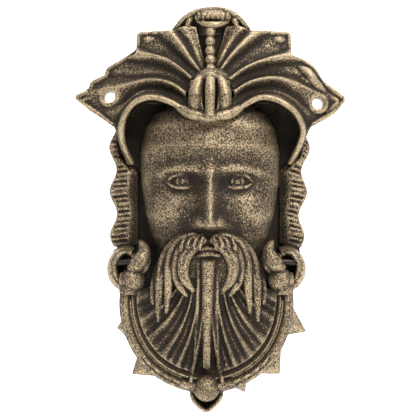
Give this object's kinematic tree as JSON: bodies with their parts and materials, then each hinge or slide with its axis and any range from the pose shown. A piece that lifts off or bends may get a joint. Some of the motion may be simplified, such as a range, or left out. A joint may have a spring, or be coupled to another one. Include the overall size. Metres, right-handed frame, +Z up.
{
  "type": "door knocker",
  "caption": "Cast mask door knocker: fluted crest plate with a bearded head, scroll ears and a swinging strike ring with a ball.",
  "frame": {"origin": "on the door plane, on the centre line, at the mean height of the two screw holes", "axes": "+Z up, +X to the viewer's right, the front faces -Y and the door plane is Y = 0"},
  "size_m": [0.1424, 0.0419, 0.2098],
  "materials": {
    "casting": "antiqued dark casting, dry-brushed warm metal on the raised parts",
    "pin": "darkened steel"
  },
  "bodies": {
    "mask": {"mask_casting": "casting", "hinge_pin_left": "pin", "hinge_pin_right": "pin"},
    "ring": {"knocker_ring": "casting"}
  },
  "joints": [
    {"name": "ring_hinge", "type": "hinge", "parent": "mask", "child": "ring", "pos_m": [-0.0018, -0.021, -0.084], "axis": [-1, 0, 0], "range_deg": [0, 90]}
  ]
}
